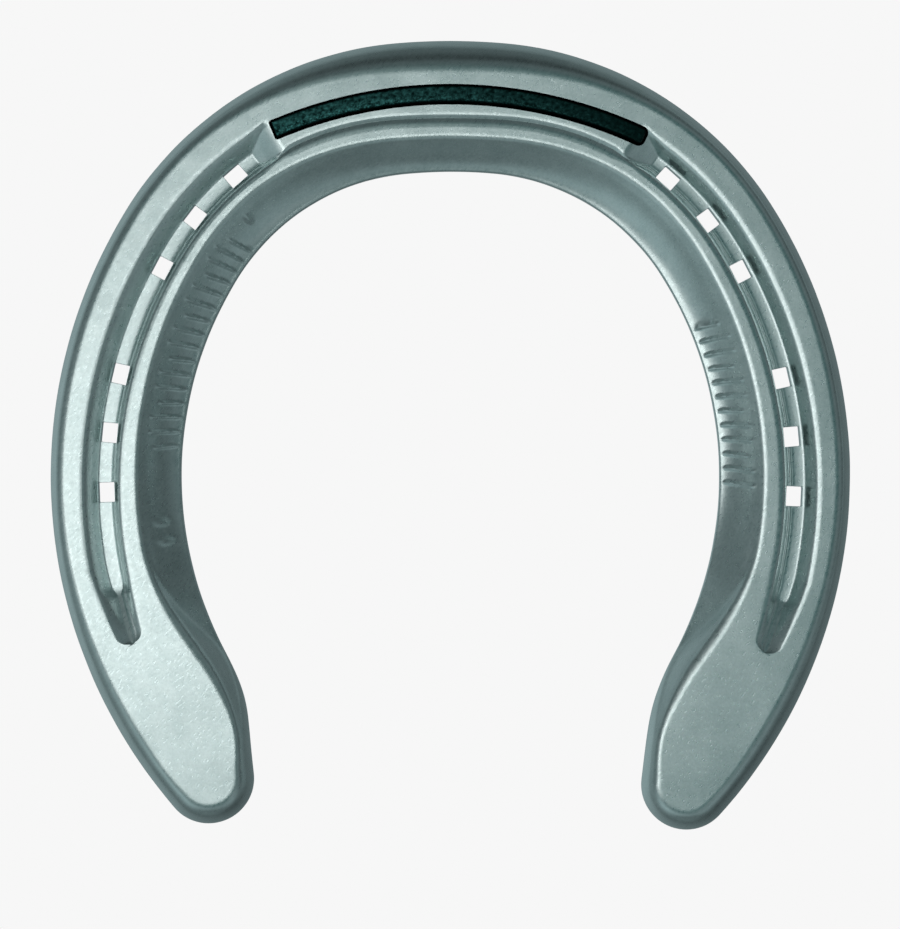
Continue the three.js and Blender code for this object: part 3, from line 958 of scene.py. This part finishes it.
# The room that the metal mirrors: elevation and azimuth in degrees of each soft patch, and its brightness.
ROOM_TINT = (0.78, 1.0, 1.03)
ROOM_FOCUS = 10
CEILING_TINT = (0.12, 1.0, 1.0)
CEILING = 0.08
ROOM = (
    (40, 0, 0.10), (40, 45, 0.13), (40, 90, 0.07), (40, 135, 0.05),
    (40, 180, 0.12), (40, 225, 0.25), (40, 270, 0.16), (40, 315, 0.14),
    (12, 0, 0.02), (12, 135, 0.07), (12, 180, 0.07), (12, 225, 0.28), (12, 270, 0.04), (12, 315, 0.18),
    (-20, 0, 0.16), (-20, 45, 0.22), (-20, 90, 0.07), (-20, 135, 0.24),
    (-20, 180, 0.19), (-20, 225, 0.12), (-20, 270, 0.14), (-20, 315, 0.05),
    (-65, 0, 0.09), (-65, 90, 0.18), (-65, 180, 0.34), (-65, 270, 0.09),
)


def make_room():
    """World light: what the metal mirrors is the room, and what the camera sees past the floor is white."""
    world = bpy.data.worlds.new("room")
    bpy.context.scene.world = world
    world.use_nodes = True
    nodes, links = world.node_tree.nodes, world.node_tree.links
    direction = nodes.new("ShaderNodeTexCoord").outputs["Generated"]

    def maths(operation, a, b):
        return maths_node(world.node_tree, operation, a, b)

    def soft_patch(elevation, azimuth, brightness):
        up, round_ = math.radians(elevation), math.radians(azimuth)
        dot = nodes.new("ShaderNodeVectorMath")
        dot.operation = "DOT_PRODUCT"
        links.new(direction, dot.inputs[0])
        dot.inputs[1].default_value = (
            math.cos(up) * math.cos(round_), math.cos(up) * math.sin(round_), math.sin(up))
        focused = maths("POWER", maths("MAXIMUM", dot.outputs["Value"], 0.0), ROOM_FOCUS)
        return maths("MULTIPLY", focused, brightness)

    def background(tint, strength):
        node = nodes.new("ShaderNodeBackground")
        node.inputs["Color"].default_value = (*tint, 1)
        if isinstance(strength, float):
            node.inputs["Strength"].default_value = strength
        else:
            links.new(strength, node.inputs["Strength"])
        return node.outputs["Background"]

    walls = soft_patch(*ROOM[0])
    for place in ROOM[1:]:
        walls = maths("ADD", walls, soft_patch(*place))
    room = nodes.new("ShaderNodeAddShader")
    links.new(background(ROOM_TINT, walls), room.inputs[0])
    links.new(background(CEILING_TINT, soft_patch(90, 0, CEILING)), room.inputs[1])
    either = nodes.new("ShaderNodeMixShader")
    links.new(nodes.new("ShaderNodeLightPath").outputs["Is Camera Ray"], either.inputs[0])
    links.new(room.outputs["Shader"], either.inputs[1])
    links.new(background((1, 1, 1), FLOOR_TONE), either.inputs[2])
    links.new(either.outputs["Shader"], nodes["World Output"].inputs["Surface"])


def make_lights():
    for name, x, y, length, power in SOFT_BOXES:
        area_light(name, (x, y, BOX_HEIGHT), (BOX_AIM * x, BOX_AIM * y, 0), (BOX_WIDTH, length), power)
    make_room()


bpy.context.scene.view_settings.view_transform = "Standard"

make_shoe()
make_bar()
make_stage()
make_lights()
make_camera()
